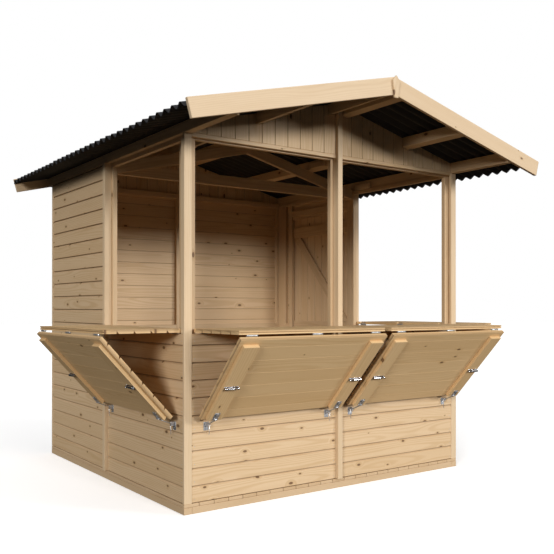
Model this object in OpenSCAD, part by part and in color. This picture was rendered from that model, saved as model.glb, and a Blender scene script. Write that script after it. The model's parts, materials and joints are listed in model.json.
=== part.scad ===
// Wooden market stall with four fold-out counters, a ledged door and a corrugated roof.
// +Z is up, the front gable faces -Y, and the origin is at the middle of the footprint on the ground.

/* [Overall size] */
// Width across the front, over the corner trims
stall_w = 2000; // [1700:10:2600]
// Depth from the front trims to the back trims
stall_d = 1964; // [1700:10:2600]
// Height of the wall cladding above the ground
wall_h = 1906; // [1700:10:2300]
// Height of the roof sheets' crests at the ridge
ridge_h = 2240; // [2050:10:2700]

/* [Floor] */
// Height of the bearers under the floor
bearer_h = 34; // [25:1:60]
// Width of each bearer
bearer_w = 45; // [30:1:80]
// Thickness of the floor boards
floor_t = 18; // [15:1:28]
// Number of bearers that run across the stall
bearer_count = 5; // [3:1:9]

/* [Walls] */
// Thickness of the lapped cladding
clad_t = 23; // [20:1:28]
// Step from the trims' face back to the cladding's face
clad_set = 4; // [2:1:8]
// Gap under the lowest cladding board
clad_lift = 4; // [2:1:10]
// Depth of the frame timbers behind the cladding
frame_d = 28; // [22:1:60]
// Height of the bottom and sill rails
rail_h = 45; // [35:1:90]
// Width of each upright beside a joint between two panels
joint_upright_w = 36; // [28:1:60]
// Width of the side walls' corner uprights
side_upright_w = 100; // [60:1:120]
// Width of the corner trims
trim_w = 45; // [30:1:80]
// Thickness of the corner trims and the cover strips
trim_t = 18; // [12:1:25]
// Width of the strips that cover the panel joints
strip_w = 34; // [24:1:60]

/* [Serving openings] */
// Height of the sill, which is the top of the low walls
sill_h = 900; // [800:5:1000]
// Height of the openings' top edge
head_h = 1882; // [1700:2:2200]
// Thickness of the counters and of the props' planks
leaf_t = 20; // [18:1:22]
// Depth of each counter, from its hinged edge to its outer edge
counter_d = 420; // [300:5:450]
// Gap from a prop's foot to the trims' face when the counter is down
foot_gap = 40; // [10:1:80]
// Gap from the middle of the wall to a leaf
leaf_mid_gap = 23; // [23:1:40]
// Gap from the front corner to a front leaf
front_end_gap = 62; // [58:1:90]
// Gap from the front corner to a side leaf
side_end_gap = 42; // [40:1:90]
// Width of the battens on the props
batten_w = 88; // [30:1:110]
// Thickness of the battens on the props
batten_t = 20; // [15:1:25]
// Distance of a hinge from the leaf's end
hinge_inset = 70; // [50:5:150]

/* [Door] */
// Distance of the door's latch edge from the back corner
door_back_gap = 232; // [190:1:450]
// Height of the door's top edge
door_top = 1784; // [1500:2:2000]
// Thickness of the door's boards
door_t = 20; // [18:1:22]
// Height of each ledge on the door
ledge_h = 88; // [60:1:140]
// Thickness of the ledges and of the diagonal
ledge_t = 18; // [15:1:25]

/* [Roof] */
// Overhang of the roof at the front
front_overhang = 460; // [200:10:600]
// Overhang of the roof at the back
back_overhang = 127; // [80:1:400]
// Overhang of the roof at each side
side_overhang = 235; // [150:5:400]
// Pitch of the roof
roof_pitch = 13.96; // [10:0.01:20]
// Thickness of a roof sheet's material
sheet_t = 3; // [2:0.5:5]
// Height of the sheets' waves, from trough to crest
wave_h = 26; // [15:1:40]
// Number of waves along the roof
wave_count = 34; // [24:1:50]
// Height of the purlins, measured upright
purlin_h = 60; // [45:1:90]
// Width of the purlins
purlin_w = 45; // [35:1:70]
// Distance of the middle purlins from the ridge
mid_purlin_x = 544; // [350:1:700]
// Distance of the ridge purlins from the ridge
ridge_purlin_x = 48; // [46:1:80]
// Width of the bargeboards, across the slope
barge_w = 92; // [70:1:140]
// Thickness of the bargeboards
barge_t = 20; // [15:1:28]
// Depth of the truss rafters, measured upright
rafter_h = 70; // [50:1:120]
// Height of the truss's tie beam
tie_h = 70; // [50:1:120]
// Reach of the ridge cap down each slope
cap_reach = 130; // [90:5:220]

/* [Hidden] */

half_w = stall_w / 2;
half_d = stall_d / 2;
base_h = bearer_h + floor_t;
clad_z = base_h + clad_lift;
frame_set = clad_set + clad_t;      // step from the trims' face back to the frame's face
frame_back = frame_set + frame_d;   // the same, to the frame's inner face
join = 1;                           // gap between neighbouring panels
clear = 6;                          // gap round what moves
seat = 0.3;                         // gap at a hinge or under the ridge cap

// Hatch hinges: the pin lies this far inside the leaf's outer face and above its lower edge.
pin_in = 6;
leaf_lift = 8;                      // gap from the sill to the counter
leaf_z = sill_h + leaf_lift;
knuckle_r = 5;
knuckle_l = 60;
plate_t = 2;
fold_drop = 5;                      // fold pin below the counter's lapped face
fold_gap = 2.5;                     // fold pin beyond each leaf's end
fold_r = 5.3;
fold_plate = 28;
batten_inset = 21;                  // from the prop's end, so that the battens pass the uprights
batten_top_inset = 30;
batten_foot_inset = 12;
head_lap = 3;                       // how far a closed prop reaches over the head rail
prop_l = head_h + head_lap - leaf_z - counter_d - 2 * fold_gap;
counter_in = 2 * pin_in;            // inner edge of the lowered counter behind the trims' face
fold_pin = [counter_in - counter_d - fold_gap, leaf_z - fold_drop];
prop_reach = prop_l + fold_gap;     // from the fold pin to the prop's foot
// Slope below level that sets the foot's inner corner at foot_gap from the trims' face.
prop_slope = acos((-fold_pin[0] - foot_gap) / norm([prop_reach, fold_drop])) - atan2(fold_drop, prop_reach);

// Door and its hinges
door_end = half_d - door_back_gap;  // latch edge, from the middle of the side wall
door_edge = strip_w / 2 + 9;        // hinge edge, from the middle of the side wall
door_pin = [door_edge - 2, -7];
door_foot = base_h + 8;
door_knuckle_r = 5.5;
door_knuckle_h = 24;
strap_l = 300;
strap_h = 36;
strap_start = door_edge + 5;
strap_heights = [300, 1580];
door_post_w = 42;
door_lap = 12;                      // lap of the door over its post

// Roof levels: a roof line is given by its height over the ridge and falls by roof_fall.
roof_fall = tan(roof_pitch);
sheet_base = ridge_h - (wave_h + sheet_t) / cos(roof_pitch);
purlin_base = sheet_base - purlin_h;
eave_x = half_w + side_overhang;
roof_front = -half_d - front_overhang;
roof_back = half_d + back_overhang;
barge_top = ridge_h + 5;
barge_drop = barge_w / cos(roof_pitch);
barge_cut = 25;                     // square-cut lower end
wave_steps = 8;
gable_rail_h = 40;
eaves_w = 45;

module slab(u, r, z) {
    translate([u[0], r[0], z[0]]) cube([u[1] - u[0], r[1] - r[0], z[1] - z[0]]);
}

// The same slab on both halves of a wall.
module both(u, r, z) {
    for (s = [0, 1]) mirror([s, 0, 0]) slab(u, r, z);
}

// Walls are drawn with X along the wall and Y inwards from the trims' face.
module on_front() { translate([0, -half_d, 0]) children(); }
module on_back() { translate([0, half_d, 0]) rotate([0, 0, 180]) children(); }
module on_left() { translate([-half_w, 0, 0]) rotate([0, 0, -90]) children(); }
module on_right() { translate([half_w, 0, 0]) rotate([0, 0, 90]) children(); }

frame_r = [frame_set, frame_back];
clad_r = [clad_set, frame_set];
bay = [strip_w / 2 + join, half_w - trim_w];        // cladding of a front or back bay
side_bay = [strip_w / 2 + join, half_d - trim_t];   // cladding of a side bay

// ---------- floor ----------
module floor_bearers() color("burlywood") {
    for (s = [-1, 1]) translate([s * (half_w - bearer_w / 2), 0, bearer_h / 2])
        cube([bearer_w, stall_d, bearer_h], center = true);
    for (i = [0 : bearer_count - 1])
        translate([0, (i / (bearer_count - 1) - 0.5) * (stall_d - bearer_w), bearer_h / 2])
            cube([stall_w - 2 * (bearer_w + join), bearer_w, bearer_h], center = true);
}

module floor_boards() color("wheat")
    translate([-half_w, -half_d, bearer_h]) cube([stall_w, stall_d, floor_t]);

// ---------- wall cladding ----------
module clad(u, z) color("wheat") slab(u, clad_r, z);

module front_left_low_wall() on_front() clad([-bay[1], -bay[0]], [clad_z, sill_h]);
module front_right_low_wall() on_front() clad(bay, [clad_z, sill_h]);
module left_low_wall() on_left() clad(side_bay, [clad_z, sill_h]);
module right_low_wall() on_right() clad([-side_bay[1], -side_bay[0]], [clad_z, sill_h]);
module left_rear_wall() on_left() clad([-side_bay[1], -side_bay[0]], [clad_z, wall_h]);
module back_left_wall() on_back() clad(bay, [clad_z, wall_h]);
module back_right_wall() on_back() clad([-bay[1], -bay[0]], [clad_z, wall_h]);

module right_rear_wall() on_right() clad([door_end + clear, side_bay[1]], [clad_z, wall_h]);
module wall_over_door() on_right()
    clad([side_bay[0], door_end + clear - join], [door_top + clear, wall_h]);

// ---------- frame ----------
front_corner = [half_w - front_end_gap - batten_inset + clear, half_w - frame_set];
side_corner = [half_d - frame_back - side_upright_w, half_d - frame_back];
set_back_r = [frame_back, frame_back + frame_d];    // behind the rails, so that closed battens clear it
joint_upright = [join, join + joint_upright_w];
door_post = [door_end - door_lap, door_end - door_lap + door_post_w];
upright_z = [base_h, head_h];

module gable_uprights() color("tan") {
    both(joint_upright, frame_r, upright_z);
    both(front_corner, frame_r, upright_z);
}

module front_uprights() on_front() gable_uprights();
module back_uprights() on_back() gable_uprights();

module side_uprights() color("tan") {
    for (m = [0, 1]) mirror([m, 0, 0]) on_left() {
        both(joint_upright, frame_r, upright_z);
        slab([-side_corner[1], -side_corner[0]], frame_r, upright_z);
    }
    on_left() slab(side_corner, set_back_r, upright_z);    // the door's side has none at the front
    on_right() slab(door_post, frame_r, upright_z);
}

bottom_z = [base_h, base_h + rail_h];
sill_z = [sill_h - rail_h, sill_h];

module wall_rails() color("tan") {
    for (z = [bottom_z, sill_z]) {
        on_front() both([joint_upright[1], front_corner[0]], frame_r, z);
        on_back() both([joint_upright[1], front_corner[0]], frame_r, z);
        for (m = [0, 1]) mirror([m, 0, 0]) on_left() slab([joint_upright[1], side_corner[1]], frame_r, z);
        on_left() slab([-side_corner[0], -joint_upright[1]], frame_r, z);
        on_right() slab([door_post[1], side_corner[0]], frame_r, z);
    }
    on_right() slab([joint_upright[1], door_post[0]], frame_r, [door_top + clear, door_top + clear + rail_h]);
}

module top_rails() color("tan") {
    inner = half_w - frame_back;
    for (s = [0, 1]) mirror([0, s, 0]) on_front()
        slab([-inner, inner], frame_r, [head_h, head_h + gable_rail_h]);
    for (s = [0, 1]) mirror([s, 0, 0]) on_left()
        slab([-half_d + frame_set, half_d - frame_set], [frame_set, frame_back - join], [head_h, wall_h]);
}

// ---------- trims ----------
// A front trim carries the filler that closes the side wall above its sill.
module corner_trims() color("blanchedalmond")
    for (s = [0, 1]) mirror([s, 0, 0]) {
        slab([half_w - trim_w, half_w], [half_d - trim_t, half_d], [base_h, wall_h]);
        slab([half_w - trim_w, half_w], [-half_d, -half_d + trim_t], [base_h, wall_h]);
        slab([half_w - frame_set, half_w], [-half_d + trim_t, -half_d + side_end_gap - clear],
             [sill_h, head_h]);
    }

module cover_strips() color("blanchedalmond") {
    s = strip_w / 2;
    for (m = [0, 1]) mirror([0, m, 0]) on_front() slab([-s, s], [-trim_t, frame_set], [base_h, gable_top(s)]);
    for (m = [0, 1]) mirror([m, 0, 0]) on_left() slab([-s, s], [-trim_t, frame_set], [base_h, wall_h]);
}

// ---------- gables ----------
function roof_line(top, x) = top - abs(x) * roof_fall;
function gable_top(x) = roof_line(sheet_base - 2, x);

// A bar under the roof, with its top and bottom on the slope, between two distances from the ridge.
module roof_bar(x, top, base, y) {
    translate([0, y[1], 0]) rotate([90, 0, 0]) linear_extrude(y[1] - y[0])
        polygon([[x[0], roof_line(base, x[0])], [x[1], roof_line(base, x[1])],
                 [x[1], roof_line(top, x[1])], [x[0], roof_line(top, x[0])]]);
}

module purlin_at(x, y, grow = 0) {
    roof_bar([x - purlin_w / 2 - grow, x + purlin_w / 2 + grow], sheet_base + grow, purlin_base - grow, y);
}

module gable(foot) {
    inner = strip_w / 2 + join;
    outer = half_w - eaves_w - 2;
    for (s = [0, 1]) mirror([s, 0, 0]) difference() {
        translate([0, -half_d + frame_set, 0]) rotate([90, 0, 0]) linear_extrude(clad_t)
            polygon([[inner, foot], [outer, foot], [outer, gable_top(outer)], [inner, gable_top(inner)]]);
        for (x = [ridge_purlin_x, mid_purlin_x]) purlin_at(x, [-half_d, -half_d + frame_back], join);
    }
}

module front_gable() color("wheat") gable(head_h + head_lap + clear);
module back_gable() color("wheat") mirror([0, 1, 0]) gable(wall_h + join);

// ---------- roof frame ----------
module truss_rafters() color("tan")
    for (s = [0, 1]) mirror([s, 0, 0])
        roof_bar([join / 2, half_w - frame_back], purlin_base, purlin_base - rafter_h, [-frame_d, 0]);

module truss_tie() color("tan")
    translate([-half_w + frame_back, 0, head_h - tie_h / 2]) cube([stall_w - 2 * frame_back, frame_d, tie_h]);

module purlins() color("tan") for (s = [0, 1]) mirror([s, 0, 0]) {
    for (x = [ridge_purlin_x, mid_purlin_x]) purlin_at(x, [roof_front + barge_t, roof_back - barge_t]);
    translate([0, roof_back - barge_t, 0]) rotate([90, 0, 0])
        linear_extrude(roof_back - roof_front - 2 * barge_t)
            polygon([[half_w - eaves_w, wall_h], [half_w, wall_h],
                     [half_w, roof_line(sheet_base, half_w)],
                     [half_w - eaves_w, roof_line(sheet_base, half_w - eaves_w)]]);
}

// ---------- roof ----------
sheet_l = roof_back - roof_front - 2 * barge_t - 2 * join;
wave_pitch = sheet_l / wave_count;
function wave(i) = wave_h / 2 * (1 - cos(360 * i / wave_steps));

// Waves run down the slope: the outline is drawn along the roof and extruded down it.
module roof_sheet() {
    n = wave_count * wave_steps;
    step = wave_pitch / wave_steps;
    lower = [for (i = [0 : n]) [i * step, wave(i)]];
    upper = [for (i = [n : -1 : 0]) [i * step, wave(i) + sheet_t]];
    translate([join, roof_front + barge_t + join, roof_line(sheet_base, join)])
        rotate([0, 90 + roof_pitch, 0]) rotate([0, 0, 90]) linear_extrude((eave_x - join) / cos(roof_pitch))
            polygon(concat(lower, upper));
}

module roof_sheet_right() color([0.1, 0.1, 0.1]) roof_sheet();
module roof_sheet_left() color([0.1, 0.1, 0.1]) mirror([1, 0, 0]) roof_sheet();

module ridge_cap() color([0.12, 0.12, 0.12]) {
    base = ridge_h + seat;
    top = base + sheet_t;
    translate([0, roof_back - barge_t - join, 0]) rotate([90, 0, 0]) linear_extrude(sheet_l)
        polygon([[-cap_reach, roof_line(base, cap_reach)], [0, base], [cap_reach, roof_line(base, cap_reach)],
                 [cap_reach, roof_line(top, cap_reach)], [0, top], [-cap_reach, roof_line(top, cap_reach)]]);
}

module bargeboards(y) {
    base = barge_top - barge_drop;
    for (s = [0, 1]) mirror([s, 0, 0]) translate([0, y[1], 0]) rotate([90, 0, 0]) linear_extrude(y[1] - y[0])
        polygon([[join / 2, roof_line(barge_top, join / 2)], [eave_x, roof_line(barge_top, eave_x)],
                 [eave_x - barge_cut, roof_line(base, eave_x - barge_cut)],
                 [join / 2, roof_line(base, join / 2)]]);
}

module front_bargeboards() color("burlywood") bargeboards([roof_front, roof_front + barge_t]);
module back_bargeboards() color("burlywood") bargeboards([roof_back - barge_t, roof_back]);

apex_w = 52;
apex_h = 120;
apex_t = 12;
apex_shoulder = 30;

module apex_pieces() color("burlywood")
    for (y = [roof_front, roof_back + apex_t]) translate([0, y, barge_top + 6]) rotate([90, 0, 0])
        linear_extrude(apex_t) polygon([[0, 0], [apex_w / 2, -apex_shoulder], [apex_w / 4, -apex_h],
                                        [-apex_w / 4, -apex_h], [-apex_w / 2, -apex_shoulder]]);

// ---------- hatches ----------
// A leaf runs along X between the two ends; a hatch is drawn on the front wall, opening towards -Y.
front_leaf = [leaf_mid_gap, half_w - front_end_gap];
side_leaf = [leaf_mid_gap, half_d - side_end_gap];

function hinge_spots(u) = [u[0] + hinge_inset, (u[0] + u[1]) / 2, u[1] - hinge_inset];

module counter(u) color("navajowhite") difference() {
    slab(u, [counter_in - counter_d, counter_in], [leaf_z, leaf_z + leaf_t]);
    for (x = hinge_spots(u))
        slab([x - knuckle_l / 2 - seat, x + knuckle_l / 2 + seat], [-pin_in - 1, counter_in + 1],
             [leaf_z - 1, leaf_z + leaf_t + 1]);
}

// Knuckle on the sill for one counter hinge.
module sill_knuckle(x) {
    translate([x - knuckle_l / 2, pin_in, leaf_z + pin_in]) rotate([0, 90, 0])
        cylinder(h = knuckle_l, r = knuckle_r, $fn = 48);
    slab([x - knuckle_l / 2, x + knuckle_l / 2], [pin_in - 2, pin_in + 2], [sill_h, leaf_z + pin_in]);
    slab([x - knuckle_l / 2, x + knuckle_l / 2], [clad_set, frame_set], [sill_h, sill_h + plate_t]);
}

module fold_hinges(u) color("silver") for (x = hinge_spots(u)) {
    translate([x - knuckle_l / 2, fold_pin[0], fold_pin[1]]) rotate([0, 90, 0])
        cylinder(h = knuckle_l, r = fold_r, $fn = 48);
    slab([x - knuckle_l / 2, x + knuckle_l / 2], [fold_pin[0], fold_pin[0] + fold_plate],
         [leaf_z - plate_t, leaf_z]);
}

// The prop is drawn along its own slope: Y runs from the fold pin to its foot, Z out of its smooth face.
module prop(u) color("navajowhite")
    translate([0, fold_pin[0], fold_pin[1]]) rotate([180 - prop_slope, 0, 0]) mirror([0, 1, 0]) {
        slab(u, [fold_gap, fold_gap + prop_l], [fold_drop, fold_drop + leaf_t]);
        for (x = [u[0] + batten_inset, u[1] - batten_inset - batten_w])
            slab([x, x + batten_w], [fold_gap + batten_top_inset, fold_gap + prop_l - batten_foot_inset],
                 [fold_drop + leaf_t, fold_drop + leaf_t + batten_t]);
    }

module front_left() { mirror([1, 0, 0]) on_front() children(); }
module right_side() { mirror([1, 0, 0]) on_left() children(); }

module front_left_counter() front_left() counter(front_leaf);
module front_right_counter() on_front() counter(front_leaf);
module left_counter() on_left() counter(side_leaf);
module right_counter() right_side() counter(side_leaf);

module front_left_prop() front_left() prop(front_leaf);
module front_right_prop() on_front() prop(front_leaf);
module left_prop() on_left() prop(side_leaf);
module right_prop() right_side() prop(side_leaf);

module front_left_fold_hinges() front_left() fold_hinges(front_leaf);
module front_right_fold_hinges() on_front() fold_hinges(front_leaf);
module left_fold_hinges() on_left() fold_hinges(side_leaf);
module right_fold_hinges() right_side() fold_hinges(side_leaf);

// Everything that the wall holds of the hinges: the sill knuckles and the door's middle knuckles.
module wall_hinges() color("silver") {
    for (x = hinge_spots(front_leaf)) {
        on_front() sill_knuckle(x);
        front_left() sill_knuckle(x);
    }
    for (x = hinge_spots(side_leaf)) {
        on_left() sill_knuckle(x);
        right_side() sill_knuckle(x);
    }
    for (z = strap_heights) on_right() {
        translate([door_pin[0], door_pin[1], z - door_knuckle_h / 2])
            cylinder(h = door_knuckle_h, r = door_knuckle_r, $fn = 48);
        slab([strip_w / 2, door_pin[0]], [door_pin[1] - plate_t, door_pin[1] + plate_t],
             [z - door_knuckle_h / 2, z + door_knuckle_h / 2]);
    }
}

// ---------- door ----------
ledge_inset = clear + 1;
ledge_u = [joint_upright[1] + ledge_inset, door_post[0] - ledge_inset];
ledge_r = [door_t, door_t + ledge_t];
ledge_heights = [130, 837, 1610];
brace_w = 88;

module door_boards() color("navajowhite") on_right()
    slab([door_edge, door_end], [0, door_t], [door_foot, door_top]);

// Diagonals rise from the hinge side of each lower ledge to the far side of the ledge above it.
module door_ledges() color("tan") on_right() {
    for (z = ledge_heights) slab(ledge_u, ledge_r, [z, z + ledge_h]);
    for (i = [0, 1]) let (foot = ledge_heights[i] + ledge_h + join, head = ledge_heights[i + 1] - join)
        translate([0, ledge_r[1], 0]) rotate([90, 0, 0]) linear_extrude(ledge_t)
            polygon([[ledge_u[0], foot], [ledge_u[0] + brace_w, foot],
                     [ledge_u[1], head], [ledge_u[1] - brace_w, head]]);
}

// Each strap has a knuckle above and one below the wall's knuckle.
module door_straps() color("silver") on_right() for (z = strap_heights) {
    slab([strap_start, door_edge + strap_l], [-plate_t, 0], [z - strap_h / 2, z + strap_h / 2]);
    for (m = [0, 1]) translate([0, 0, z]) mirror([0, 0, m]) {
        knuckle_z = [door_knuckle_h / 2 + seat, strap_h / 2];
        translate([door_pin[0], door_pin[1], knuckle_z[0]])
            cylinder(h = knuckle_z[1] - knuckle_z[0], r = door_knuckle_r, $fn = 48);
        slab([door_pin[0], strap_start + 1], [-plate_t - 1, 0], knuckle_z);
    }
}

floor_bearers();
floor_boards();
front_left_low_wall();
front_right_low_wall();
left_low_wall();
right_low_wall();
left_rear_wall();
right_rear_wall();
wall_over_door();
back_left_wall();
back_right_wall();
front_uprights();
side_uprights();
back_uprights();
wall_rails();
top_rails();
corner_trims();
cover_strips();
front_gable();
back_gable();
truss_rafters();
truss_tie();
purlins();
roof_sheet_left();
roof_sheet_right();
ridge_cap();
front_bargeboards();
back_bargeboards();
apex_pieces();
wall_hinges();
front_left_counter();
front_left_prop();
front_left_fold_hinges();
front_right_counter();
front_right_prop();
front_right_fold_hinges();
left_counter();
left_prop();
left_fold_hinges();
right_counter();
right_prop();
right_fold_hinges();
door_boards();
door_ledges();
door_straps();
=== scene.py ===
import bmesh
import bpy
import json
import math
import random
from mathutils import Matrix, Vector

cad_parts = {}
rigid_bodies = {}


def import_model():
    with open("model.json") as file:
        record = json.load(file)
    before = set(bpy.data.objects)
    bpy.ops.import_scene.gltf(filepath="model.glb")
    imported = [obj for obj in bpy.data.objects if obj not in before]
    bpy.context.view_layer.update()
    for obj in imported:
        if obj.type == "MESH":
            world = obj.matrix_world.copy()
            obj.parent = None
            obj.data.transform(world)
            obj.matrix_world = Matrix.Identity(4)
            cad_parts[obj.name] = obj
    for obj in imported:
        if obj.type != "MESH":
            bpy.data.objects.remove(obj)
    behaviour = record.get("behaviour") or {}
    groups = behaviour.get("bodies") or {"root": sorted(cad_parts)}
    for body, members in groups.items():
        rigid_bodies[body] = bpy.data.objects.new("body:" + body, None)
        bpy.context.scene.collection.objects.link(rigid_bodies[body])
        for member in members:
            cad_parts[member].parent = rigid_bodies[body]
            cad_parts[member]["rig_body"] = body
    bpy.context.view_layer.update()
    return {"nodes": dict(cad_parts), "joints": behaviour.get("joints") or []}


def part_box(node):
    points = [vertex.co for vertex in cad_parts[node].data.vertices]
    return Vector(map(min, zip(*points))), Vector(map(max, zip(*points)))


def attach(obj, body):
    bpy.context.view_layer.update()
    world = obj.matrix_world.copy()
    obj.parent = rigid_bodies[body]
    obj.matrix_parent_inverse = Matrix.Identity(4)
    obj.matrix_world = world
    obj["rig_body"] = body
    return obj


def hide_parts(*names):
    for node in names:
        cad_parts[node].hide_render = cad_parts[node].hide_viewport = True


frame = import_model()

scene = bpy.context.scene
rng = random.Random(21)
xAxis, yAxis, zAxis = Vector((1, 0, 0)), Vector((0, 1, 0)), Vector((0, 0, 1))


# node groups
def newGroup(name, inputs, outputs):
    group = bpy.data.node_groups.new(name, "ShaderNodeTree")
    for socketName, kind, value in inputs:
        socket = group.interface.new_socket(socketName, in_out="INPUT", socket_type="NodeSocket" + kind)
        socket.default_value = value
    for socketName, kind in outputs:
        group.interface.new_socket(socketName, in_out="OUTPUT", socket_type="NodeSocket" + kind)
    return group, group.nodes.new("NodeGroupInput"), group.nodes.new("NodeGroupOutput")


def feed(tree, socket, value):
    if isinstance(value, bpy.types.NodeSocket):
        tree.links.new(value, socket)
    else:
        socket.default_value = value


def newNode(tree, kind, values=()):
    # a shader node with its named inputs set or linked
    node = tree.nodes.new("ShaderNode" + kind)
    for name, value in dict(values).items():
        feed(tree, node.inputs[name], value)
    return node


def maths(tree, operation, first, second=0.0, third=0.0, clamp=False):
    node = newNode(tree, "Math")
    node.operation = operation
    node.use_clamp = clamp
    for socket, value in zip(node.inputs, (first, second, third)):
        feed(tree, socket, value)
    return node.outputs[0]


def vectors(tree, operation, first, second=(0, 0, 0)):
    node = newNode(tree, "VectorMath")
    node.operation = operation
    feed(tree, node.inputs[0], first)
    feed(tree, node.inputs[1], second)
    return node.outputs["Value" if operation == "LENGTH" else "Vector"]


def noiseOf(tree, vector, scale, detail, roughness=0.5):
    values = {"Vector": vector, "Scale": scale, "Detail": detail, "Roughness": roughness}
    return newNode(tree, "TexNoise", values).outputs["Fac"]


def between(tree, value, low, high, toLow=0.0, toHigh=1.0):
    values = {"Value": value, "From Min": low, "From Max": high, "To Min": toLow, "To Max": toHigh}
    node = newNode(tree, "MapRange", values)
    node.interpolation_type = "SMOOTHSTEP"
    return node.outputs["Result"]


def mixed(tree, factor, first, second):
    node = newNode(tree, "Mix")
    node.data_type = "RGBA"
    feed(tree, node.inputs[0], factor)
    feed(tree, node.inputs[6], first)
    feed(tree, node.inputs[7], second)
    return node.outputs[2]


softwoodLook = {
    "knotCell": (0.30, 0.075, 1.0), "knotMeasure": (0.15, 0.075, 0), "knotJitter": 0.9,
    "knotLeast": 0.0026, "knotSpread": 0.0068, "knotFade": (1.0, 0.72), "knotShade": 0.85, "knotSink": 0.3,
    "rimFade": (2.6, 0.9), "rimShade": 0.7, "swirlFade": (3.6, 0.4), "swirl": 0.009,
    "wander": (1.1, 7.0, 7.0), "wanderDetail": 1.5, "wanderReach": (0.0, 0.050, 0.045),
    "ringsPerMetre": 1050.0, "ringFade": (-0.35, 1.0), "ringRelief": 0.35,
    "fibre": (14.0, 620.0, 620.0), "fibreDetail": 4.0, "fibreRough": 0.65, "fibreFade": (0.42, 0.72),
    "fibreShade": 0.22, "fibreRelief": 0.6,
    "broad": (2.2, 26.0, 26.0), "broadDetail": 2.0, "broadFade": (0.35, 0.75), "broadShade": 0.22,
    "warmFade": (0.1, 1.0), "warmShade": 0.30, "coolFade": (-0.1, -1.0), "coolShade": 0.35,
    "seamShadeAndGrime": 0.6, "roughFade": (0.2, 0.8), "roughness": (0.50, 0.66),
}


def softwoodGroup():
    # rings, fibres and knots of a sawn board; Grain runs along the board's X
    group, source, sink = newGroup(
        "softwood",
        [("Grain", "Vector", (0, 0, 0)), ("Tone", "Float", 0.0), ("Pale", "Color", (1, 1, 1, 1)),
         ("Late Wood", "Color", (0.5, 0.3, 0.1, 1)), ("Knot", "Color", (0.1, 0.05, 0.02, 1)),
         ("Ring Contrast", "Float", 0.5), ("Knot Share", "Float", 0.3), ("Seam", "Float", 0.0)],
        [("Color", "Color"), ("Roughness", "Float"), ("Height", "Float")])
    look = softwoodLook
    grain = source.outputs["Grain"]
    late = source.outputs["Late Wood"]
    # one knot may sit in each cell of a loose grid over the face
    grid = vectors(group, "DIVIDE", grain, look["knotCell"])
    spot = newNode(group, "TexVoronoi", {"Vector": grid, "Scale": 1.0, "Randomness": look["knotJitter"]})
    spot.voronoi_dimensions = "2D"
    away = vectors(group, "SUBTRACT", grid, spot.outputs["Position"])
    away = vectors(group, "LENGTH", vectors(group, "MULTIPLY", away, look["knotMeasure"]))
    dice = newNode(group, "SeparateColor", {"Color": spot.outputs["Color"]})
    present = maths(group, "LESS_THAN", dice.outputs[0], source.outputs["Knot Share"])
    radius = maths(group, "MULTIPLY_ADD", dice.outputs[1], look["knotSpread"], look["knotLeast"])
    ratio = maths(group, "DIVIDE", away, radius)
    core = maths(group, "MULTIPLY", between(group, ratio, *look["knotFade"]), present)
    rim = maths(group, "MULTIPLY", between(group, ratio, *look["rimFade"]), present)
    swirl = maths(group, "MULTIPLY", between(group, ratio, *look["swirlFade"], 0.0, look["swirl"]), present)
    # growth rings as shells round a wandering centre line
    slow = vectors(group, "MULTIPLY", grain, look["wander"])
    wander = newNode(group, "TexNoise", {"Vector": slow, "Scale": 1.0, "Detail": look["wanderDetail"]})
    push = vectors(group, "MULTIPLY", wander.outputs["Color"], look["wanderReach"])
    ringAt = vectors(group, "MULTIPLY", vectors(group, "ADD", grain, push), (0.0, 1.0, 1.0))
    shell = maths(group, "ADD", vectors(group, "LENGTH", ringAt), swirl)
    wave = maths(group, "SINE", maths(group, "MULTIPLY", shell, look["ringsPerMetre"]))
    ring = between(group, wave, *look["ringFade"])
    fine = vectors(group, "MULTIPLY", grain, look["fibre"])
    fibre = noiseOf(group, fine, 1.0, look["fibreDetail"], look["fibreRough"])
    broad = noiseOf(group, vectors(group, "MULTIPLY", grain, look["broad"]), 1.0, look["broadDetail"])
    share = maths(group, "MULTIPLY", ring, source.outputs["Ring Contrast"])
    strands = between(group, fibre, *look["fibreFade"])
    share = maths(group, "MULTIPLY_ADD", strands, look["fibreShade"], share)
    clouds = between(group, broad, *look["broadFade"])
    share = maths(group, "MULTIPLY_ADD", clouds, look["broadShade"], share, clamp=True)
    body = mixed(group, share, source.outputs["Pale"], late)
    tone = source.outputs["Tone"]
    body = mixed(group, between(group, tone, *look["warmFade"], 0.0, look["warmShade"]), body, late)
    cool = between(group, tone, *look["coolFade"], 0.0, look["coolShade"])
    body = mixed(group, cool, body, source.outputs["Pale"])
    body = mixed(group, maths(group, "MULTIPLY", rim, look["rimShade"]), body, late)
    body = mixed(group, maths(group, "MULTIPLY", core, look["knotShade"]), body, source.outputs["Knot"])
    # painted shade and grime: the seam bands in laps and grooves are darkened towards the knot colour
    lapShadeAndGrime = maths(group, "MULTIPLY", source.outputs["Seam"], look["seamShadeAndGrime"])
    body = mixed(group, lapShadeAndGrime, body, source.outputs["Knot"])
    feed(group, sink.inputs["Color"], body)
    feed(group, sink.inputs["Roughness"], between(group, fibre, *look["roughFade"], *look["roughness"]))
    relief = maths(group, "MULTIPLY", fibre, look["fibreRelief"])
    relief = maths(group, "MULTIPLY_ADD", ring, look["ringRelief"], relief)
    sunk = maths(group, "MULTIPLY", core, look["knotSink"])
    feed(group, sink.inputs["Height"], maths(group, "SUBTRACT", relief, sunk))
    return group


wearLook = {"patchDetail": 6.0, "patchRough": 0.6, "patchFade": (0.42, 0.66), "patchRelief": 0.3,
            "speckScale": 9.0, "speckDetail": 3.0, "speckRough": 0.7, "speckRelief": 0.7}


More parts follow.
